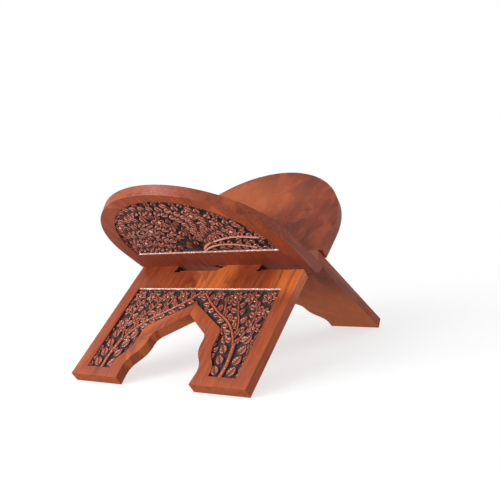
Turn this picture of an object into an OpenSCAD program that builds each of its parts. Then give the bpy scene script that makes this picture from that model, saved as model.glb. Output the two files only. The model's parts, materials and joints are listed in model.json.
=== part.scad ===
// Folding book rest (rehal) sawn and carved from one plank.
// Two boards pass through each other at a knuckle joint and turn about the X axis.
// The stand is drawn open on its stops: X runs along the hinge, Y to the back, Z up.
// The origin lies on the floor, straight below the middle of the hinge axis.

/* [Boards] */
// Width of the leaves along the hinge
leaf_w = 203; // [160:1:300]
// Height of a leaf from the hinge axis to the top of its arch
leaf_h = 146; // [115:1:240]
// Height above the hinge axis at which the sides of a leaf start to curve
leaf_side_h = 45; // [40:1:60]
// Length of a leg from the hinge axis to the end of the foot
leg_l = 158; // [136:1:260]
// Thickness of each board
board_t = 10.6; // [8:0.1:16]
// Saw cut left between the boards when the stand is folded flat
kerf = 0.4; // [0.2:0.1:2]
// Amount by which each side of a leg is trimmed back from its leaf
leg_trim = 1.5; // [0:0.5:4]

/* [Knuckle joint] */
// Angle between the leaves when the stand is open on its stops
open_angle = 108; // [90:1:116]
// Distance between a leaf's lower edge and the sawn shoulder of the leg below it
shoulder_drop = 7; // [6:0.5:12]
// Clearance between the sides of neighbouring fingers
finger_gap = 0.3; // [0.1:0.05:1]
// Clearance at the stops, where a leaf's lower edge meets the other board's leg
stop_gap = 0.15; // [0.1:0.05:0.5]
// Depth of the chisel nicks at the ends of the finger cuts
nick_depth = 5; // [2:0.5:7]

/* [Leg arch] */
// Width of each foot
foot_w = 58; // [40:1:64]
// Height of the arch's point above the end of the foot
arch_rise = 78; // [66:1:110]
// Height of the arch's upper shoulder above the end of the foot
arch_shoulder_rise = 54; // [46:1:64]
// Amount by which the upper shoulder stands in from the inner edge of the foot
arch_shoulder_in = 10.5; // [6:0.5:16]
// Height of the arch's waist above the end of the foot
arch_waist_rise = 36; // [30:1:44]
// Height of the arch's lower shoulder above the end of the foot
arch_hip_rise = 19; // [14:1:26]
// Amount by which the lower shoulder is cut back into the foot
arch_hip_cut = 2; // [0:0.5:6]
// Radius of the arch's upper shoulder
arch_shoulder_r = 12; // [4:1:14]
// Radius of the arch's waist
arch_waist_r = 28; // [8:1:30]
// Radius of the arch's lower shoulder
arch_hip_r = 20; // [6:1:24]

/* [Carved panels] */
// Depth of the carved ground below the face of the board
carve_depth = 3; // [1.5:0.5:5]
// Plain border between a leg panel and the sides and arch of the leg
leg_border = 14; // [8:1:20]
// Plain border between a leg panel and the end of the foot
foot_border = 10; // [6:1:20]
// Distance from the hinge axis to the upper edge of a leg panel
leg_panel_top = 46; // [34:1:56]
// Plain border between a leaf panel and the sides of the leaf
leaf_side_border = 16; // [8:1:20]
// Plain border between a leaf panel and the top of the leaf's arch
leaf_top_border = 11; // [6:1:20]
// Distance from the hinge axis to the lower edge of a leaf panel
leaf_panel_base = 41; // [28:1:44]

/* [Hidden] */
half_angle = open_angle / 2;
face_y = board_t + kerf / 2;                    // outer faces of the folded pair
leaf_shoulder = face_y * tan(half_angle) + stop_gap;
leg_shoulder = leaf_shoulder + shoulder_drop;
hinge_h = leg_l * cos(half_angle) - kerf / 2 * sin(half_angle);
finger_w = leaf_w / 4;
leg_half_w = leaf_w / 2 - leg_trim;
foot_in = leg_half_w - foot_w;
arch_shoulder_x = foot_in - arch_shoulder_in;
through = 1;                                    // overshoot of every cut
corner_step = 9;                                // degrees between points on a rounded corner
arch_step = 3;                                  // degrees between points on a leaf arch
nick_rise = 5;
nick_run = 8;
knuckle_flat = 0.1;                             // planed off the round so that it ends in a square step

// A corner v = [x, y, radius] between corners a and b, rounded by an arc tangent to both sides.
// The arc takes at most half of the shorter side.
function unit(v) = v / norm(v);
function rounded_corner(a, v, b) =
    let (
        p = [v.x, v.y],
        u1 = unit([a.x, a.y] - p),
        u2 = unit([b.x, b.y] - p),
        half = acos(u1 * u2) / 2,
        reach = min(norm([a.x, a.y] - p), norm([b.x, b.y] - p)) / 2,
        r = min(v.z, reach * tan(half)),
        centre = p + unit(u1 + u2) * r / sin(half),
        first = p + u1 * r / tan(half) - centre,
        side = sign(u1.x * u2.y - u1.y * u2.x),
        sweep = 180 - 2 * half,
        n = ceil(sweep / corner_step)
    )
    [for (i = [0:n]) let (t = -side * sweep * i / n)
        centre + [first.x * cos(t) - first.y * sin(t), first.x * sin(t) + first.y * cos(t)]];
function rounded(c) = [
    for (i = [0:len(c) - 1])
        each c[i].z == 0 ? [[c[i].x, c[i].y]]
            : rounded_corner(c[(i + len(c) - 1) % len(c)], c[i], c[(i + 1) % len(c)])
];
function mirrored(c) = concat(c, [for (i = [len(c) - 1:-1:0]) [-c[i].x, c[i].y, c[i].z]]);

// Arched leaf outline: upright sides below half an ellipse.
module arch_face(half_w, base, side, top) {
    polygon(concat(
        [[-half_w, base], [half_w, base]],
        [for (t = [0:arch_step:180]) [half_w * cos(t), side + (top - side) * sin(t)]]
    ));
}

// The opening between the feet, moved out by inset for the carved panel's inner edge.
module leg_arch(inset, drop) {
    polygon(rounded(mirrored([
        [foot_in + inset, -leg_l - drop, 0],
        [foot_in + arch_hip_cut + inset, -leg_l + arch_hip_rise, arch_hip_r],
        [arch_shoulder_x + inset, -leg_l + arch_waist_rise, arch_waist_r],
        [arch_shoulder_x + inset, -leg_l + arch_shoulder_rise + inset / 2, arch_shoulder_r],
        [0.01, -leg_l + arch_rise + inset, 0]
    ])));
}

module leaf_outline() {
    arch_face(leaf_w / 2, leaf_shoulder, leaf_side_h, leaf_h);
}

module leaf_panel() {
    arch_face(leaf_w / 2 - leaf_side_border, leaf_panel_base, leaf_side_h, leaf_h - leaf_top_border);
}

module leg_outline() {
    difference() {
        translate([-leg_half_w, -leg_l])
            square([2 * leg_half_w, leg_l - leg_shoulder]);
        leg_arch(0, through);
    }
}

module leg_panel() {
    difference() {
        translate([-leg_half_w + leg_border, -leg_l + foot_border])
            square([2 * (leg_half_w - leg_border), leg_l - foot_border - leg_panel_top]);
        leg_arch(leg_border, 0);
    }
}

// Draws a flat outline (x across, y up the board) as a plate from y0 to y1.
module plate(y0, y1) {
    translate([0, y1, 0])
        rotate([90, 0, 0])
            linear_extrude(height = y1 - y0)
                children();
}

// One finger of the knuckle between x0 and x1: it joins the leaf in front to the leg behind.
module finger_part(x0, x1, y0, y1) {
    intersection() {
        translate([x0, 0, 0])
            rotate([90, 0, 90])
                linear_extrude(height = x1 - x0)
                    union() {
                        intersection() {
                            circle(r = face_y, $fn = 96);
                            translate([-face_y - through, knuckle_flat - face_y])
                                square(2 * [face_y + through, face_y - knuckle_flat]);
                        }
                        translate([-face_y, 0])
                            square([board_t, leaf_shoulder + through]);
                        translate([kerf / 2, -leg_shoulder - through])
                            square([board_t, leg_shoulder + through]);
                    }
        translate([x0 - through, y0, -leg_shoulder - through])
            cube([x1 - x0 + 2 * through, y1 - y0, leaf_shoulder + leg_shoulder + 2 * through]);
    }
}

module finger(x0, x1, trim) {
    finger_part(x0, x1, -face_y, 0);
    finger_part(x0, x1 - trim, -through / 2, face_y);
}

// A triangular chisel nick with its base from x0 to x1 and its point at x2.
module nick(x0, x1, z_base, x2, z_point, y0) {
    plate(y0, y0 + nick_depth)
        polygon([[x0, z_base], [x1, z_base], [x2, z_point]]);
}

// Nicks left by the chisel where the finger cuts start, on both faces of a board.
module nicks() {
    low = -leg_shoulder - nick_rise / 3;
    high = leaf_shoulder;
    back = face_y - nick_depth;
    nick(finger_w - nick_run, finger_w + nick_run / 3, low, finger_w, low + nick_rise, back);
    nick(-finger_w - nick_run / 2, -finger_w + nick_run / 3, low, -finger_w, low + nick_rise, back);
    translate([0, through, 0])
        nick(-nick_run * 1.2, nick_run / 4, -high, 0, -high - 1.5 * nick_rise, back);
    translate([0, -through, 0])
        nick(-nick_run, nick_run / 4, high, 0, high - 1.5 * nick_rise, -face_y);
}

// One whole board, folded flat: leaf in the front layer, leg in the back layer.
module board() {
    side = finger_gap / 2;
    difference() {
        union() {
            plate(-face_y, -kerf / 2) leaf_outline();
            plate(kerf / 2, face_y) leg_outline();
            finger(-finger_w + side, -side, 0);
            finger(finger_w + side, 2 * finger_w, leg_trim);
        }
        plate(-face_y - through, -face_y + carve_depth) leaf_panel();
        plate(face_y - carve_depth, face_y + through) leg_panel();
        nicks();
    }
}

module front_board() {
    color([0.62, 0.24, 0.11])
        translate([0, 0, hinge_h])
            rotate([half_angle, 0, 0])
                board();
}

module rear_board() {
    color([0.52, 0.19, 0.09])
        translate([0, 0, hinge_h])
            rotate([-half_angle, 0, 0])
                rotate([0, 0, 180])
                    board();
}

front_board();
rear_board();
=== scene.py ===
"""Finish, carving, stage and camera for a folding book rest sawn and carved from one plank."""

import json
import math

import bmesh
import bpy
import numpy as np
from bpy.props import FloatProperty, FloatVectorProperty, IntProperty, PointerProperty
from mathutils import Matrix, Vector


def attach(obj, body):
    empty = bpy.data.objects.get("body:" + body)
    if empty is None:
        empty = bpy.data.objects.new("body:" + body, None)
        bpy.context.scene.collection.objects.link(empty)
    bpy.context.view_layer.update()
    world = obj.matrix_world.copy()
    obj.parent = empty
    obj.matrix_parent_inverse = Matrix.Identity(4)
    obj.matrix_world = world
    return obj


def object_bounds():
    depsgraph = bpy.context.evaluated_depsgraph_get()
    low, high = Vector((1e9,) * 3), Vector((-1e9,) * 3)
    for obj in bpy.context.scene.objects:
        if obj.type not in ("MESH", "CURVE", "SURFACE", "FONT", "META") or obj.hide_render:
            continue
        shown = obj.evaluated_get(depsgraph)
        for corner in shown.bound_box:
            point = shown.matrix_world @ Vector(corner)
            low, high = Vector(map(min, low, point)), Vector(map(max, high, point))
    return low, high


bl_info = {
    "name": "Carved Book Rest",
    "version": (1, 0, 0),
    "blender": (4, 5, 0),
    "location": "View3D > Sidebar > Book Rest",
    "description": "Carves, varnishes and stages a folding wooden book rest",
    "category": "Add Mesh",
}

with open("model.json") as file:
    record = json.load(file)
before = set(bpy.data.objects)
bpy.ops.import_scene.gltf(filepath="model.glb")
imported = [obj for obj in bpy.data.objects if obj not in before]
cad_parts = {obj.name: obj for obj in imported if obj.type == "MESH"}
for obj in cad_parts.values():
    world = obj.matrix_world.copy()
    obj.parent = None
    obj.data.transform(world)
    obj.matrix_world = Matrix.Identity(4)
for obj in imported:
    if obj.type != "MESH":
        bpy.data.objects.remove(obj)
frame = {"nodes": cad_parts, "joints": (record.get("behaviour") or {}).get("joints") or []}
CAD_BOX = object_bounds()
MM = 0.001

# Each board has its own frame: x across, y through the closed pair, z up from the hinge axis.
# The leaf is its front layer (y below 0) and the leg its back layer (y above 0).
HINGE = frame["joints"][0]
HINGE_AT = Matrix.Translation(HINGE["pos_m"])
HALF_ANGLE = math.radians(HINGE["range_deg"][1]) / 2
BOARD_FRAMES = {
    "front_board": HINGE_AT @ Matrix.Rotation(HALF_ANGLE, 4, "X"),
    "rear_board": HINGE_AT @ Matrix.Rotation(-HALF_ANGLE, 4, "X") @ Matrix.Rotation(math.pi, 4, "Z"),
}


def board_points(board):
    """Corners of a board in millimetres, turned back to the board's own frame."""
    mesh = frame["nodes"][board].data
    corners = np.empty(len(mesh.vertices) * 3)
    mesh.vertices.foreach_get("co", corners)
    back = np.array(BOARD_FRAMES[board].inverted())
    return (corners.reshape(-1, 3) @ back[:3, :3].T + back[:3, 3]) / MM


FACE_Y = float(np.abs(board_points("front_board")[:, 1]).max())
FINGER_WIDE = float(np.abs(board_points("front_board")[:, 0]).max()) / 2


# ---------------------------------------------------------------- sizes and colours

class CarvingSizes(bpy.types.PropertyGroup):
    """Sizes of the carved panels."""

    recess: FloatProperty(
        name="Recess", description="Depth of the panels cut in the boards, in millimetres",
        default=3.0, min=1.0, max=6.0)
    proud: FloatProperty(
        name="Proud", description="Height of the stems and leaves above the ground, in millimetres",
        default=2.6, min=0.5, max=5.0)
    ground: FloatProperty(
        name="Ground", description="Thickness left under the punched ground, in millimetres",
        default=0.25, min=0.1, max=1.0)
    pitch: FloatProperty(
        name="Mesh pitch", description="Distance between mesh points, in millimetres",
        default=0.5, min=0.3, max=2.0)
    leaf_size: FloatProperty(
        name="Leaf size", description="Size of the carved leaves and petals, 1 as drawn",
        subtype="FACTOR", default=1.0, min=0.5, max=1.5)
    ledge: FloatProperty(
        name="Ledge", description="Width of the ledge along a panel's straight edge, in millimetres",
        default=1.7, min=0.5, max=5.0)
    stem_wide: FloatProperty(
        name="Stem width", description="Width of a side stem, in millimetres",
        default=2.0, min=1.0, max=6.0)
    seed: IntProperty(
        name="Seed", description="Choice of the carver's small irregularities", default=11)


class WoodColours(bpy.types.PropertyGroup):
    """Colours of the varnished boards."""

    body: FloatVectorProperty(
        name="Body", description="Main colour of the wood under varnish",
        subtype="COLOR", size=3, default=(0.285, 0.058, 0.021), min=0.0, max=1.0)
    streak: FloatVectorProperty(
        name="Streak", description="Colour of the dark grain",
        subtype="COLOR", size=3, default=(0.085, 0.02, 0.011), min=0.0, max=1.0)
    russet: FloatVectorProperty(
        name="Russet", description="Deep red of the heartwood in the leaves and at the joint",
        subtype="COLOR", size=3, default=(0.20, 0.026, 0.008), min=0.0, max=1.0)
    amber: FloatVectorProperty(
        name="Amber", description="Colour of the light patches below the joint",
        subtype="COLOR", size=3, default=(0.58, 0.14, 0.03), min=0.0, max=1.0)
    carved: FloatVectorProperty(
        name="Carved tops", description="Colour of the tops of the carving",
        subtype="COLOR", size=3, default=(0.50, 0.12, 0.065), min=0.0, max=1.0)
    # Painted highlight: pale colour on the tops of the leaf carvings, standing in for glints of light on
    # their rims.
    painted_glint: FloatVectorProperty(
        name="Rubbed tops", description="Colour where hands have rubbed the leaf carvings pale",
        subtype="COLOR", size=3, default=(0.86, 0.42, 0.33), min=0.0, max=1.0)
    # Painted highlight: the pale colour laid on a ledge's slope stands in for the light that the slope
    # catches.
    ledge: FloatVectorProperty(
        name="Ledge", description="Colour of the bare ledge along a panel's straight edge",
        subtype="COLOR", size=3, default=(0.80, 0.50, 0.40), min=0.0, max=1.0)
    # Carved ground: a real dark stain, also laid as painted shade in the carving's hollows and inside the
    # chisel nicks.
    ground: FloatVectorProperty(
        name="Carved ground", description="Colour of the stained ground of the carving",
        subtype="COLOR", size=3, default=(0.022, 0.006, 0.004), min=0.0, max=1.0)
    edge_round: FloatProperty(
        name="Edge rounding", description="Radius worn on the edges of the boards, in millimetres",
        default=0.7, min=0.1, max=2.0)


class StageSizes(bpy.types.PropertyGroup):
    """Camera and light."""

    turn: FloatProperty(
        name="Azimuth", description="Camera angle round the stand",
        subtype="ANGLE", default=math.radians(34.09))
    rise: FloatProperty(
        name="Elevation", description="Camera angle above the table",
        subtype="ANGLE", default=math.radians(5.43))
    roll: FloatProperty(
        name="Roll", description="Camera tilt about its line of sight",
        subtype="ANGLE", default=math.radians(-5.56))
    away: FloatProperty(
        name="Distance", description="Camera distance from the point it looks at",
        subtype="DISTANCE", unit="LENGTH", default=0.7164)
    aim: FloatVectorProperty(
        name="Aim", description="Point that the camera looks at",
        subtype="TRANSLATION", unit="LENGTH", size=3, default=(0.0268, 0.0, 0.105))
    lens: FloatProperty(name="Lens", description="Focal length in millimetres", default=51.96)
    key: FloatProperty(
        name="Key light", description="Power of the main softbox", unit="POWER", default=10.0)
    fill: FloatProperty(
        name="Front light", description="Power of the low front softbox", unit="POWER", default=10.0)
    sky: FloatProperty(
        name="Room light", description="Strength of the even light all round",
        default=0.75, min=0.0, max=5.0)
    gleam: FloatProperty(
        name="Room gleam", description="Strength of the room in the varnish",
        default=0.38, min=0.0, max=5.0)


# ---------------------------------------------------------------- wood

# Noise in the wood: stretch along x, y and z of the board, detail and distortion.
FIBRE = ((1.1, 1.1, 0.04), 5.0, 0.3)
BAND = ((0.16, 0.2, 0.010), 3.0, 0.8)
PATCH = ((0.034, 0.05, 0.03), 3.0, 1.0)
CLOUD = ((0.06, 0.05, 0.04), 5.0, 0.6)
SMEAR = ((0.05, 0.05, 0.03), 2.0, 0.0)
PORES = ((2.2, 2.2, 0.12), 3.0, 0.0)
BLOT = ((0.25, 0.25, 0.25), 3.0, 0.0)

GRAIN_RELIEF = 0.3 * MM


def add(tree, kind, inputs=None, **settings):
    """Adds a shader node, sets or links its inputs and returns it."""
    made = tree.nodes.new("ShaderNode" + kind)
    for key, value in settings.items():
        setattr(made, key, value)
    for key, value in (inputs or {}).items():
        if isinstance(value, bpy.types.NodeSocket):
            tree.links.new(value, made.inputs[key])
        else:
            made.inputs[key].default_value = value
    return made


def calc(tree, operation, *values):
    """Result of a maths node on sockets or numbers, as a socket."""
    return add(tree, "Math", dict(enumerate(values)), operation=operation).outputs[0]


def mix(tree, share, first, second):
    """Mixes two colours, either of which may be a socket, and returns the result's socket."""
    made = tree.nodes.new("ShaderNodeMix")
    made.data_type = "RGBA"
    sockets = {"share": made.inputs[0], "first": made.inputs[6], "second": made.inputs[7]}
    for key, value in (("share", share), ("first", first), ("second", second)):
        if isinstance(value, bpy.types.NodeSocket):
            tree.links.new(value, sockets[key])
        elif key == "share":
            sockets[key].default_value = value
        else:
            sockets[key].default_value = (*value, 1.0)
    return made.outputs[2]


def spread(tree, value, low, high, to_low=0.0, to_high=1.0):
    """Maps a value from low..high to to_low..to_high, smoothly and clamped."""
    return add(tree, "MapRange", {
        "Value": value, "From Min": low, "From Max": high, "To Min": to_low, "To Max": to_high,
    }, interpolation_type="SMOOTHSTEP").outputs["Result"]


class Wood:
    """Shader nodes of one varnished wood material, in its board's own millimetres."""

    def __init__(self, name, colours, board_frame):
        self.made = bpy.data.materials.new(name)
        self.made.use_nodes = True
        self.tree = self.made.node_tree
        self.shader = self.tree.nodes["Principled BSDF"]
        self.colours = colours
        self.at = self.board_position(board_frame)
        axes = add(self.tree, "SeparateXYZ", {"Vector": self.at})
        self.across = axes.outputs["X"]
        self.height = axes.outputs["Z"]
        self.through = calc(self.tree, "ABSOLUTE", axes.outputs["Y"])
        self.fibre = self.noise(FIBRE)
        self.patch = self.noise(PATCH)
        self.colour = colours.body
        self.grow()

    def board_position(self, board_frame):
        """Position in the board's frame in millimetres, as a socket."""
        at = add(self.tree, "TexCoord").outputs["Object"]
        back = board_frame.inverted()
        turned = add(self.tree, "Mapping", {
            "Vector": at, "Location": back.translation, "Rotation": back.to_euler("XYZ")})
        return add(self.tree, "VectorMath", {0: turned.outputs["Vector"], "Scale": 1 / MM},
                   operation="SCALE").outputs["Vector"]

    def noise(self, pattern):
        """Noise over the board, stretched as the pattern says."""
        stretch, detail, distortion = pattern
        squeezed = add(self.tree, "Mapping", {"Vector": self.at, "Scale": stretch}).outputs["Vector"]
        return add(self.tree, "TexNoise", {
            "Vector": squeezed, "Scale": 1.0, "Detail": detail, "Distortion": distortion,
        }).outputs["Fac"]

    def ramp(self, value, *steps):
        """Smooth step of a value: from low to high, and what it becomes there."""
        return spread(self.tree, value, *steps)

    def times(self, first, second):
        """Product of two shares."""
        return calc(self.tree, "MULTIPLY", first, second)

    def lay_colour(self, share, colour):
        """Lays a colour over what is there: real tone, stains and wear, and also painted light and shade.
        """
        self.colour = mix(self.tree, share, self.colour, colour)

    def grow(self):
        """Red heartwood at the joint, amber patches below it, then dark and light grain."""
        self.lay_colour(self.ramp(calc(self.tree, "ABSOLUTE", self.height), 28.0, 90.0, 0.95, 0.25),
                   self.colours.russet)
        below = self.times(self.ramp(self.height, -62.0, -40.0),
                           self.ramp(self.height, -14.0, 2.0, 1.0, 0.0))
        middle = self.ramp(calc(self.tree, "ABSOLUTE", self.across), 16.0, 34.0, 1.0, 0.15)
        side = self.ramp(self.across, -84.0, -62.0, 1.0, 0.0)
        where = self.times(below, calc(self.tree, "MAXIMUM", middle, side))
        self.lay_colour(self.times(self.ramp(self.patch, 0.34, 0.50), where), self.colours.amber)
        self.lay_colour(self.ramp(self.noise(BAND), 0.48, 0.75, 0.0, 0.65), self.colours.streak)
        self.lay_colour(self.ramp(self.fibre, 0.48, 0.75, 0.0, 0.7), self.colours.streak)
        self.lay_colour(self.ramp(self.fibre, 0.28, 0.46, 0.35, 0.0), self.colours.amber)

    def varnish(self, rough, relief):
        """Sets colour and gloss, and the fine relief of the grain; returns the material."""
        self.tree.links.new(self.colour, self.shader.inputs["Base Color"])
        self.tree.links.new(rough, self.shader.inputs["Roughness"])
        height = calc(self.tree, "ADD", self.fibre, self.noise(PORES))
        bump = add(self.tree, "Bump", {"Height": height, "Strength": relief, "Distance": GRAIN_RELIEF})
        self.tree.links.new(bump.outputs["Normal"], self.shader.inputs["Normal"])
        return self.made


def nick_shade(wood):
    """Share of painted shade: one inside the chisel nicks, which lie at the finger cuts just above and
    below the joint.
    """
    to_cut = calc(wood.tree, "PINGPONG", wood.across, FINGER_WIDE / 2)
    aside = calc(wood.tree, "ABSOLUTE", wood.across)
    height = calc(wood.tree, "ABSOLUTE", wood.height)
    shade = wood.ramp(wood.through, FACE_Y - 1.1, FACE_Y - 0.3, 1.0, 0.0)
    for limit in (wood.ramp(to_cut, 8.5, 10.0, 1.0, 0.0),
                  wood.ramp(height, 11.0, 13.0),
                  wood.ramp(height, 27.0, 30.0, 1.0, 0.0),
                  wood.ramp(aside, 1.3 * FINGER_WIDE, 1.5 * FINGER_WIDE, 1.0, 0.0)):
        shade = wood.times(shade, limit)
    return shade


def board_wood(name, colours, board_frame):
    """Varnished plank: bright outer faces, deeper cloudy inner faces lightened towards the feet with
    painted fill light, worn light edges.
    """
    wood = Wood(name, colours, board_frame)
    outer = wood.colour
    cloud = wood.noise(CLOUD)
    wood.colour = colours.russet
    wood.lay_colour(wood.ramp(cloud, 0.42, 0.62, 0.0, 0.8), colours.body)
    wood.lay_colour(wood.ramp(cloud, 0.56, 0.72, 0.0, 0.2), colours.amber)
    wood.lay_colour(wood.ramp(wood.patch, 0.46, 0.62, 0.2, 0.85), colours.streak)
    wood.lay_colour(wood.ramp(wood.fibre, 0.45, 0.8, 0.0, 0.4), colours.streak)
    # Lighter amber towards the feet on the inner faces: partly the wood's warmer tone, partly painted
    # fill light where these faces lie in shadow.
    wood.lay_colour(wood.ramp(wood.height, -110.0, -10.0, 0.6, 0.0), colours.amber)
    inner = mix(wood.tree, 0.85, outer, wood.colour)
    wood.colour = outer
    wood.lay_colour(wood.ramp(wood.through, 0.3, 1.2, 1.0, 0.0), inner)
    # Painted shade: the dark ground colour is laid inside the chisel nicks.
    wood.lay_colour(nick_shade(wood), colours.ground)
    pointed = add(wood.tree, "NewGeometry").outputs["Pointiness"]
    wood.lay_colour(wood.ramp(pointed, 0.53, 0.62, 0.0, 0.35), colours.amber)
    wood.shader.inputs["Specular IOR Level"].default_value = 0.3
    wood.shader.inputs["Coat Weight"].default_value = 0.14
    wood.shader.inputs["Coat Roughness"].default_value = 0.24
    return wood.varnish(wood.ramp(wood.noise(SMEAR), 0.3, 0.7, 0.34, 0.5), 0.35)


def carved_wood(name, colours, recess, ledge, painted_glint):
    """Carved panel: pinkish tops with painted highlights on the leaves' tops, a dark stained ground with
    painted shade in the hollows, and a painted highlight on the ledge.
    """
    wood = Wood(name, colours, Matrix.Identity(4))
    wood.lay_colour(0.55, colours.carved)
    # Painted highlight along the ledge, streaked with the grain.
    ledge_highlight = mix(wood.tree, wood.ramp(wood.fibre, 0.35, 0.7, 0.0, 0.7), colours.ledge, colours.body)
    wood.lay_colour(wood.ramp(wood.height, *ledge), ledge_highlight)
    # Painted highlight: the highest tops of the leaf carvings are laid pale, in place of glints.
    wood.lay_colour(wood.ramp(wood.through, FACE_Y - 1.2, FACE_Y - 0.4, 0.0, painted_glint), colours.painted_glint)
    # Darker with depth: the ground keeps its real dark stain, and the low parts of the carving, its
    # scoops and grooves, get painted shade in the same colour.
    depth_stain_and_shade = wood.ramp(wood.through, FACE_Y - recess + 1.1, FACE_Y - 0.6)
    tops = wood.colour
    wood.colour = colours.ground
    wood.lay_colour(wood.times(depth_stain_and_shade, wood.ramp(wood.noise(BLOT), 0.3, 0.6, 0.75, 1.0)), tops)
    wood.shader.inputs["Specular IOR Level"].default_value = 0.5
    wood.shader.inputs["IOR"].default_value = 1.6
    return wood.varnish(wood.ramp(depth_stain_and_shade, 0.15, 0.7, 0.85, 0.2), 0.15)


# ---------------------------------------------------------------- carving

LINE_STEP = 1.2         # distance between points along a stem
GROOVE_LEVEL = 0.3      # height left in the grooves, as a share of the full height
STEM_GROOVE = 0.5       # width of the groove beside a stem
LEAF_GROOVE = 0.55      # width of the groove beside a leaf
INSET = 0.06            # gap between a carving and the walls of its recess
SEAT_GAP = 0.04         # gap between a carving and the floor of its recess


def ahead(x, z, turn, distance):
    """The spot at a distance from x, z in the direction of turn."""
    return x + distance * math.cos(turn), z + distance * math.sin(turn)


def smooth_line(points):
    """Evenly spaced points along a smooth curve through the given ones."""
    ends = [points[0], *points, points[-1]]
    line = []
    for a, b, c, d in zip(ends, ends[1:], ends[2:], ends[3:]):
        a, b, c, d = (np.array(p, float) for p in (a, b, c, d))
        count = max(2, int(np.linalg.norm(c - b) / LINE_STEP))
        for t in np.arange(count) / count:
            line.append(0.5 * (2 * b + (c - a) * t + (2 * a - 5 * b + 4 * c - d) * t ** 2
                               + (3 * b - a - 3 * c + d) * t ** 3))
    line.append(np.array(points[-1], float))
    return np.array(line)


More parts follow.
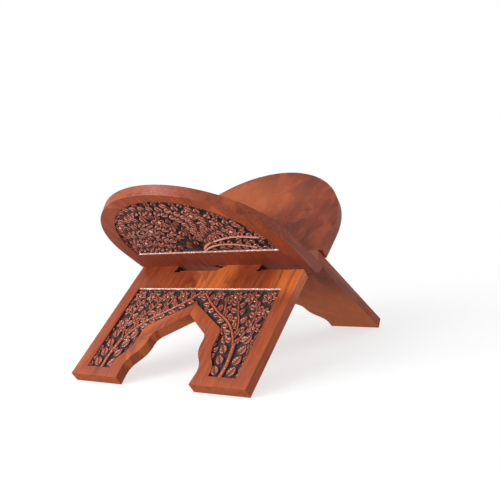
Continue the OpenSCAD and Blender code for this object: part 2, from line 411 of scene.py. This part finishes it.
class Carving:
    """Height of a carved panel above its ground, in millimetres, cut element by element."""

    def __init__(self, across, up, sizes):
        self.x = across.ravel()
        self.z = up.ravel()
        self.sizes = sizes
        self.height = np.zeros(self.x.size)
        self.centres = []
        self.chance = np.random.default_rng(sizes.seed)

    def near(self, x, z, reach):
        return np.flatnonzero((np.abs(self.x - x) < reach) & (np.abs(self.z - z) < reach))

    def lay(self, spots, inside, raised, beside):
        """Lays an element over what is there and sinks a groove round it."""
        sunk = spots[beside]
        self.height[sunk] = np.minimum(self.height[sunk], GROOVE_LEVEL * self.sizes.proud)
        self.height[spots[inside]] = raised[inside]

    def stem(self, points, wide, top=1.0):
        """A rounded stem along a smooth line."""
        half = wide / 2
        line = smooth_line(points)
        away = np.full(self.x.size, 1e3)
        for a, b in zip(line, line[1:]):
            spots = self.near(*((a + b) / 2), half + 3.0)
            step = b - a
            dx = self.x[spots] - a[0]
            dz = self.z[spots] - a[1]
            along = np.clip((dx * step[0] + dz * step[1]) / max(step @ step, 1e-9), 0, 1)
            away[spots] = np.minimum(away[spots], np.hypot(dx - along * step[0], dz - along * step[1]))
        share = away / half
        raised = top * self.sizes.proud * np.sqrt(np.clip(1 - 0.55 * share ** 2, 0, 1))
        everywhere = np.arange(self.x.size)
        self.lay(everywhere, share < 1, raised, (share >= 1) & (away < half + STEM_GROOVE))

    def leaf(self, x, z, turn, length, wide, top=1.0):
        """A pointed leaf with a raised rim, scooped inside, growing from its foot at x, z."""
        length = length * self.sizes.leaf_size
        half = wide * self.sizes.leaf_size / 2
        middle = ahead(x, z, turn, length / 2)
        spots = self.near(*middle, length)
        dx = self.x[spots] - x
        dz = self.z[spots] - z
        along = (dx * math.cos(turn) + dz * math.sin(turn)) / length
        side = -dx * math.sin(turn) + dz * math.cos(turn)
        held = np.clip(along, 0, 1)
        girth = half * np.sin(np.pi * held ** 0.8) ** 0.75 + 1e-6
        share = np.abs(side) / girth
        vein = 0.16 * np.exp(-(side / 0.5) ** 2)
        scoop = 1 - 0.36 * np.clip(1 - share, 0, 1) ** 0.8 - vein
        rim = np.clip((1 - share) / 0.22, 0, 1) ** 0.5
        raised = top * self.sizes.proud * (0.84 + 0.16 * held) * scoop * (0.55 + 0.45 * rim)
        inside = (along > 0) & (along < 1) & (share < 1)
        beside = ~inside & (along > -0.06) & (along < 1.08) & (np.abs(side) < girth + LEAF_GROOVE)
        self.lay(spots, inside, raised, beside)
        self.centres.append(middle)

    def flower(self, x, z, radius, turn, petals=6):
        """A flat flower: scooped petals round a domed eye."""
        petal_wide = 2.3 * radius / petals * 1.5
        for n in range(petals):
            self.leaf(x, z, turn + 2 * math.pi * n / petals, radius, petal_wide)
        spots = self.near(x, z, radius)
        eye = 0.27 * radius
        away = np.hypot(self.x[spots] - x, self.z[spots] - z) / eye
        raised = self.sizes.proud * (0.72 + 0.28 * np.sqrt(np.clip(1 - away ** 2, 0, 1)))
        self.lay(spots, away < 1, raised, (away >= 1) & (away < 1.35))

    def sprig(self, points, gap, lean, length, wide, sides=(1, -1), start=6.0, stem=None, top=0.9):
        """A stem with leaves on both sides, turn and turn about, and one at its end."""
        line = smooth_line(points)
        steps = np.linalg.norm(np.diff(line, axis=0), axis=1)
        gone = np.concatenate([[0], np.cumsum(steps)])
        at = start
        count = 0
        while at < gone[-1]:
            spot = [np.interp(at, gone, line[:, 0]), np.interp(at, gone, line[:, 1])]
            beyond = [np.interp(at + 1, gone, line[:, 0]), np.interp(at + 1, gone, line[:, 1])]
            if at + 1 > gone[-1]:
                beyond = spot
                spot = line[-3]
            heading = math.atan2(beyond[1] - spot[1], beyond[0] - spot[0])
            side = sides[count % len(sides)]
            wobble = self.chance.uniform(-0.14, 0.14)
            grown = self.chance.uniform(0.88, 1.12)
            foot_x = spot[0] + 0.9 * side * -math.sin(heading)
            foot_z = spot[1] + 0.9 * side * math.cos(heading)
            self.leaf(foot_x, foot_z, heading + side * lean + wobble, length * grown, wide)
            at += gap / len(sides)
            count += 1
        last_step = line[-1] - line[-3]
        self.leaf(line[-1][0], line[-1][1], math.atan2(last_step[1], last_step[0]), length * 0.9, wide)
        self.stem(points, stem or self.sizes.stem_wide, top)

    def fill(self, spots, room, heading, length, wide):
        """Small leaves wherever the ground would be left wide and bare."""
        for x, z in spots:
            x = x + self.chance.uniform(-1.4, 1.4)
            z = z + self.chance.uniform(-1.4, 1.4)
            turn = heading(x, z) + self.chance.uniform(-0.7, 0.7)
            middle = ahead(x, z, turn, length / 2)
            crowd = self.near(*middle, 1.6)
            if crowd.size == 0 or self.height[crowd].max() > 0.4:
                continue
            if all(math.hypot(middle[0] - cx, middle[1] - cz) > room for cx, cz in self.centres):
                self.leaf(x, z, turn, length, wide, 0.92)

    def ledge(self, away):
        """The slope left along a straight edge of the recess, with a clear groove beside it."""
        wide = self.sizes.ledge * (1 + 0.2 * np.sin(self.x / 7.0) * np.sin(self.x / 3.1))
        slope = self.sizes.proud * np.clip(1.02 - away / wide, 0, 1) ** 0.8
        self.height = np.where(away < wide + 1.0, slope, self.height)

    def finished(self, shape):
        """Heights with a punched ground and the small flats that the chisel leaves on the tops."""
        ground = self.height < 0.3
        punched = 0.22 * self.chance.random(self.x.size)
        waves = np.sin(1.5 * self.x + 0.8 * self.z) * np.sin(1.3 * self.z - 0.5 * self.x)
        flats = 0.3 * np.abs(waves)
        return np.where(ground, self.height + punched, self.height - flats).reshape(shape)


def ground_points(board, layer, recess):
    """Corners of a panel's flat ground across and up the board: layer is -1 for leaf, 1 for leg."""
    points = board_points(board)
    level = layer * (FACE_Y - recess)
    found = points[(np.abs(points[:, 1] - level) < 0.02) & (-layer * points[:, 2] > FACE_Y * 1.9)]
    return found[:, [0, 2]]


def leaf_grid(board, sizes):
    """Grid over a leaf panel: columns across, rows from the straight base to the arch."""
    ground = ground_points(board, -1, sizes.recess)
    base = ground[:, 1].min()
    half = ground[:, 0].max()
    arch = ground[ground[:, 1] > base + 0.01]
    arch = arch[np.argsort(arch[:, 0])]
    columns = np.linspace(-half + INSET, half - INSET, int(2 * half / sizes.pitch))
    high = np.interp(columns, arch[:, 0], arch[:, 1]) - INSET
    rows = np.linspace(0, 1, int((high.max() - base) / sizes.pitch))
    across = np.tile(columns, (len(rows), 1))
    up = base + INSET + rows[:, None] * (high - base - INSET)
    return across, up, []


def leg_grid(board, sizes):
    """Grid over a leg panel: rows up the leg, each row in two halves beside the arch."""
    ground = ground_points(board, 1, sizes.recess)
    low = ground[:, 1].min()
    top = ground[:, 1].max()
    half = ground[:, 0].max()
    edge = ground[(ground[:, 0] > 0) & (ground[:, 0] < half - 0.01) & (ground[:, 1] < top - 0.01)]
    edge = edge[np.argsort(edge[:, 1])]
    rows = np.linspace(low + INSET, top - INSET, int((top - low) / sizes.pitch))
    apex = edge[-1, 1] + INSET
    inner = np.where(rows < apex, np.interp(rows, edge[:, 1], edge[:, 0]) + INSET, 0.0)
    columns = np.linspace(0, 1, int(half / sizes.pitch))
    right = inner[:, None] + columns * (half - INSET - inner[:, None])
    across = np.hstack([-right[:, ::-1], right])
    up = np.tile(rows[:, None], (1, across.shape[1]))
    return across, up, [len(columns) - 1]


def carved_leg(carving):
    """Two flowering plants that grow from the feet and meet over the arch."""
    side_stems = [
        ([(66, -112), (71, -98), (73, -82), (70, -68)], 11.0, 8.5, 6.0),
        ([(63, -104), (59, -88), (52, -74), (47, -62)], 10.5, 8.5, 6.0),
        ([(47, -88), (38, -76), (33, -62)], 10.5, 8.0, 5.6),
    ]
    over_arch = [(67, -118), (59, -101), (47, -87), (30, -75), (14, -62), (4, -52)]
    trunk = [(68.5, -148), (69, -134), (67.5, -122), (66, -112)]
    flowers = [(78, -56, 8.5, 0.2), (60, -57, 8.5, 0.6), (79.5, -75, 7.5, 0.9),
               (77.5, -93, 7.5, 0.4), (41, -56, 8.0, 0.1), (22, -55, 7.0, 0.5)]
    for m in (1, -1):
        for z in np.arange(-145, -104, 11.5):
            carving.leaf(m * 75, z, math.pi / 2 - m * 0.45, 10.5, 8.4)
        for x, z in ((62.5, -145), (62, -133.5), (60, -122), (56, -111), (49, -101)):
            carving.leaf(m * x, z, math.pi / 2 + m * 0.55, 10.5, 7.6)
        for points, gap, length, wide in side_stems:
            carving.sprig([(m * x, z) for x, z in points], gap, 0.9, length, wide)
        carving.sprig([(m * x, z) for x, z in over_arch], 10.5, 0.8, 8.5, 6.0, stem=2.6)
        for x, z, radius, turn in flowers:
            carving.flower(m * x, z, radius, turn)
        carving.stem([(m * x, z) for x, z in trunk], 3.6)
    rows = [(x, z) for z in np.arange(-146, -46, 6.0) for x in np.arange(-84, 85, 6.0)]
    carving.fill(rows, 5.4, lambda x, z: math.pi / 2 - math.copysign(0.5, x), 6.6, 4.8)


def carved_leaf(carving):
    """A spray of curling stems from the middle of the base, thick with broad leaves."""
    left = [
        [(0, 43), (14, 62), (18, 88), (12, 108), (-6, 118), (-34, 119), (-58, 106)],
        [(-1, 43), (-2, 64), (-12, 86), (-30, 100), (-56, 100)],
        [(-2, 43), (-12, 60), (-28, 76), (-48, 88), (-70, 84)],
        [(-2, 43), (-20, 54), (-42, 66), (-62, 72), (-80, 68)],
        [(-2, 43), (-26, 47), (-52, 54), (-80, 52)],
    ]
    right = [
        [(16, 72), (26, 92), (24, 108), (14, 122)],
        [(14, 64), (34, 84), (42, 100), (36, 114)],
        [(8, 54), (24, 72), (44, 82), (62, 90)],
    ]
    upper_bough = [(2, 43), (12, 54), (30, 62), (52, 67), (76, 64)]
    lower_bough = [(2, 43), (14, 50), (28, 54), (46, 53), (64, 47)]
    flowers = [(-34, 84, 8.5), (-12, 99, 7.5), (54, 76, 7.5), (-58, 62, 7.0), (30, 106, 7.0),
               (-66, 94, 6.5)]
    for points in left:
        carving.sprig(points, 8.6, 0.95, 8.6, 7.0, start=27.0, stem=1.6, top=0.55)
    for points in right:
        carving.sprig(points, 8.8, 0.95, 8.4, 6.8, start=8.0, stem=1.6, top=0.55)
    carving.sprig(upper_bough, 8.6, 0.9, 8.0, 6.4, sides=(1,), start=20.0, stem=3.2)
    carving.sprig(lower_bough, 8.6, 0.9, 7.0, 5.6, start=22.0, stem=2.8)
    for x, z, radius in flowers:
        carving.flower(x, z, radius, 0.4)
    rows = [(x, z) for z in np.arange(45, 134, 5.0) for x in np.arange(-84, 85, 5.0)
            if abs(x - 20) > 8 or not 60 < z < 73]
    carving.fill(rows, 4.5, lambda x, z: math.atan2(z - 42, x), 7.2, 5.6)


def relief(name, across, up, height, layer, sizes, seams):
    """Closed slab that lies in a panel's recess, with the carved heights on its outer side."""
    rows, columns = across.shape
    floor = FACE_Y - sizes.recess + SEAT_GAP
    level = layer * (floor + sizes.ground + height)
    points = np.stack([across, level, up], axis=-1).reshape(-1, 3) * MM
    index = np.arange(rows * columns).reshape(rows, columns)
    quads = np.stack([index[:-1, :-1], index[:-1, 1:], index[1:, 1:], index[1:, :-1]], axis=-1)
    keep = np.ones(columns - 1, bool)
    keep[seams] = False
    quads = quads[:, keep].reshape(-1, 4)
    mesh = bpy.data.meshes.new(name)
    mesh.from_pydata(points.tolist(), [], quads.tolist())
    shape = bmesh.new()
    shape.from_mesh(mesh)
    if seams:
        middle = [v for v in shape.verts if abs(v.co.x) < 1e-7]
        bmesh.ops.remove_doubles(shape, verts=middle, dist=1e-6)
    rim = [e for e in shape.edges if e.is_boundary]
    sunk = bmesh.ops.extrude_edge_only(shape, edges=rim)["geom"]
    for part in sunk:
        if isinstance(part, bmesh.types.BMVert):
            part.co.y = layer * floor * MM
    bmesh.ops.edgeloop_fill(shape, edges=[e for e in shape.edges if e.is_boundary])
    bmesh.ops.recalc_face_normals(shape, faces=shape.faces)
    for face in shape.faces:
        face.smooth = len(face.verts) == 4
    shape.to_mesh(mesh)
    shape.free()
    made = bpy.data.objects.new(name, mesh)
    bpy.context.scene.collection.objects.link(made)
    return made


PAINTED_GLINT_SHARE = 0.85           # share of painted highlight laid pale on the tops of the leaves' carvings
LEDGE_HIGHLIGHT_FADE = 0.5        # width over which the painted highlight on a ledge fades out


def carve_panel(name, board, layer):
    """Makes one carved panel and seats it in its board."""
    sizes = bpy.context.scene.rest_carving
    colours = bpy.context.scene.rest_wood
    on_leaf = layer < 0
    across, up, seams = (leaf_grid if on_leaf else leg_grid)(board, sizes)
    edge = up.min() if on_leaf else up.max()
    carving = Carving(across, up, sizes)
    (carved_leaf if on_leaf else carved_leg)(carving)
    carving.ledge(np.abs(carving.z - edge))
    made = relief(name, across, up, carving.finished(across.shape), layer, sizes, seams)
    made.matrix_world = BOARD_FRAMES[board]
    # Height band along the panel's straight edge that gets the ledge's painted highlight.
    ledge = (edge - layer * (sizes.ledge + LEDGE_HIGHLIGHT_FADE), edge - layer * sizes.ledge)
    # Only the leaves' carvings get the painted highlight on their tops.
    painted_glint = PAINTED_GLINT_SHARE if on_leaf else 0.0
    made.data.materials.append(carved_wood(name + "_wood", colours, sizes.recess, ledge, painted_glint))
    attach(made, board)


class REST_OT_boards(bpy.types.Operator):
    """Varnish the two boards and round their edges"""

    bl_idname = "rest.boards"
    bl_label = "Finish Boards"

    def execute(self, context):
        colours = context.scene.rest_wood
        for board, board_frame in BOARD_FRAMES.items():
            node = frame["nodes"][board]
            node.data.materials.clear()
            node.data.materials.append(board_wood(board + "_wood", colours, board_frame))
            welded = node.modifiers.new("joined corners", "WELD")
            welded.merge_threshold = 0.01 * MM
            flat = node.modifiers.new("flat faces", "DECIMATE")
            flat.decimate_type = "DISSOLVE"
            flat.angle_limit = math.radians(0.3)
            rounding = node.modifiers.new("worn edges", "BEVEL")
            rounding.width = colours.edge_round * MM
            rounding.segments = 2
            rounding.limit_method = "ANGLE"
            rounding.angle_limit = math.radians(28)
            evened = node.modifiers.new("even normals", "WEIGHTED_NORMAL")
            evened.weight = 100
        return {"FINISHED"}


class REST_OT_leaf_carvings(bpy.types.Operator):
    """Carve the outer faces of the two leaves"""

    bl_idname = "rest.leaf_carvings"
    bl_label = "Carve Leaves"

    def execute(self, context):
        carve_panel("front_leaf_carving", "front_board", -1)
        carve_panel("rear_leaf_carving", "rear_board", -1)
        return {"FINISHED"}


class REST_OT_leg_carvings(bpy.types.Operator):
    """Carve the outer faces of the two pairs of legs"""

    bl_idname = "rest.leg_carvings"
    bl_label = "Carve Legs"

    def execute(self, context):
        carve_panel("rear_leg_carving", "front_board", 1)
        carve_panel("front_leg_carving", "rear_board", 1)
        return {"FINISHED"}


# Softboxes: place and size in metres.
KEY_BOX = ((-0.45, -0.85, 0.95), (0.8, 0.8))
FRONT_BOX = ((-0.66, -0.98, 0.26), (0.4, 0.25))

FLOOR_REACH = 8.0
FLOOR_FADE = (0.12, 0.6)    # distance from the stand over which the floor turns plain white


def softbox(name, box, aim, power):
    """A square or oblong light that faces the given point."""
    at, size = box
    lamp = bpy.data.lights.new(name, "AREA")
    lamp.shape = "RECTANGLE"
    lamp.size, lamp.size_y = size
    lamp.energy = power
    holder = bpy.data.objects.new(name, lamp)
    holder.location = at
    holder.rotation_euler = (Vector(aim) - Vector(at)).to_track_quat("-Z", "Y").to_euler()
    bpy.context.scene.collection.objects.link(holder)


class REST_OT_stage(bpy.types.Operator):
    """Lay the floor, set the lights and the camera"""

    bl_idname = "rest.stage"
    bl_label = "Set Stage"

    def execute(self, context):
        sizes = context.scene.rest_stage
        self.lay_floor()
        middle = sum(CAD_BOX, Vector()) / 2
        softbox("key_softbox", KEY_BOX, middle, sizes.key)
        softbox("front_softbox", FRONT_BOX, middle, sizes.fill)
        self.light_room(context, sizes.sky, sizes.gleam)
        self.place_camera(context, sizes)
        context.scene.view_settings.view_transform = "Standard"
        return {"FINISHED"}

    def lay_floor(self):
        """White floor with a soft shadow, plain white further off and dim in the varnish."""
        mesh = bpy.data.meshes.new("floor")
        corners = [(x * FLOOR_REACH, y * FLOOR_REACH, 0) for x, y in ((-1, -1), (1, -1), (1, 1), (-1, 1))]
        mesh.from_pydata(corners, [], [(0, 1, 2, 3)])
        floor = bpy.data.objects.new("floor", mesh)
        bpy.context.scene.collection.objects.link(floor)
        paper = bpy.data.materials.new("white_paper")
        paper.use_nodes = True
        tree = paper.node_tree
        shader = tree.nodes["Principled BSDF"]
        shader.inputs["Base Color"].default_value = (0.93, 0.93, 0.93, 1)
        shader.inputs["Roughness"].default_value = 0.9
        shader.inputs["Specular IOR Level"].default_value = 0.1
        place = add(tree, "TexCoord").outputs["Object"]
        away = add(tree, "VectorMath", {0: place}, operation="LENGTH").outputs["Value"]
        fade = spread(tree, away, *FLOOR_FADE, 0.68, 1.0)
        glow = add(tree, "Emission", {"Color": (1, 1, 1, 1), "Strength": 1.0})
        both = add(tree, "MixShader", {0: fade, 1: shader.outputs[0], 2: glow.outputs[0]})
        gleam = spread(tree, away, *FLOOR_FADE, 0.12, 0.6)
        dim = add(tree, "Emission", {"Color": (1, 1, 1, 1), "Strength": gleam})
        glossy = add(tree, "LightPath").outputs["Is Glossy Ray"]
        seen = add(tree, "MixShader", {0: glossy, 1: both.outputs[0], 2: dim.outputs[0]})
        tree.links.new(seen.outputs[0], tree.nodes["Material Output"].inputs["Surface"])
        mesh.materials.append(paper)

    def light_room(self, context, strength, gleam):
        """White behind the stand, softer light all round it."""
        world = bpy.data.worlds.new("studio")
        world.use_nodes = True
        tree = world.node_tree
        path = add(tree, "LightPath")
        seen = path.outputs["Is Camera Ray"]
        room = tree.nodes["Background"]
        room.inputs["Color"].default_value = (1, 1, 1, 1)
        tree.links.new(spread(tree, path.outputs["Is Glossy Ray"], 0.0, 1.0, strength, gleam),
                       room.inputs["Strength"])
        white = add(tree, "Background", {"Color": (1, 1, 1, 1), "Strength": 1.0})
        both = add(tree, "MixShader", {0: seen, 1: room.outputs[0], 2: white.outputs[0]})
        tree.links.new(both.outputs[0], tree.nodes["World Output"].inputs["Surface"])
        context.scene.world = world

    def place_camera(self, context, sizes):
        back = Vector((math.sin(sizes.turn) * math.cos(sizes.rise),
                       -math.cos(sizes.turn) * math.cos(sizes.rise), math.sin(sizes.rise)))
        lens = bpy.data.cameras.new("camera")
        lens.lens = sizes.lens
        lens.sensor_width = 36.0
        camera = bpy.data.objects.new("camera", lens)
        level = (-back).to_track_quat("-Z", "Y").to_matrix().to_4x4()
        camera.matrix_world = (Matrix.Translation(Vector(sizes.aim) + back * sizes.away)
                               @ level @ Matrix.Rotation(sizes.roll, 4, "Z"))
        context.scene.collection.objects.link(camera)
        context.scene.camera = camera


class REST_PT_panel(bpy.types.Panel):
    """Sizes, colours and steps of the book rest"""

    bl_label = "Carved Book Rest"
    bl_space_type = "VIEW_3D"
    bl_region_type = "UI"
    bl_category = "Book Rest"

    def draw(self, context):
        for group in ("rest_carving", "rest_wood", "rest_stage"):
            sizes = getattr(context.scene, group)
            box = self.layout.box()
            for key in sizes.__annotations__:
                box.prop(sizes, key)
        for operator in OPERATORS:
            self.layout.operator(operator.bl_idname)


GROUPS = {"rest_carving": CarvingSizes, "rest_wood": WoodColours, "rest_stage": StageSizes}
OPERATORS = (REST_OT_stage, REST_OT_boards, REST_OT_leaf_carvings, REST_OT_leg_carvings)


def register():
    for kind in (*GROUPS.values(), *OPERATORS, REST_PT_panel):
        bpy.utils.register_class(kind)
    for key, kind in GROUPS.items():
        setattr(bpy.types.Scene, key, PointerProperty(type=kind))


def unregister():
    for key in GROUPS:
        delattr(bpy.types.Scene, key)
    for kind in (REST_PT_panel, *reversed(OPERATORS), *reversed(list(GROUPS.values()))):
        bpy.utils.unregister_class(kind)


def main():
    register()
    bpy.ops.rest.stage()
    bpy.ops.rest.boards()
    bpy.ops.rest.leaf_carvings()
    bpy.ops.rest.leg_carvings()


if __name__ == "__main__":
    main()
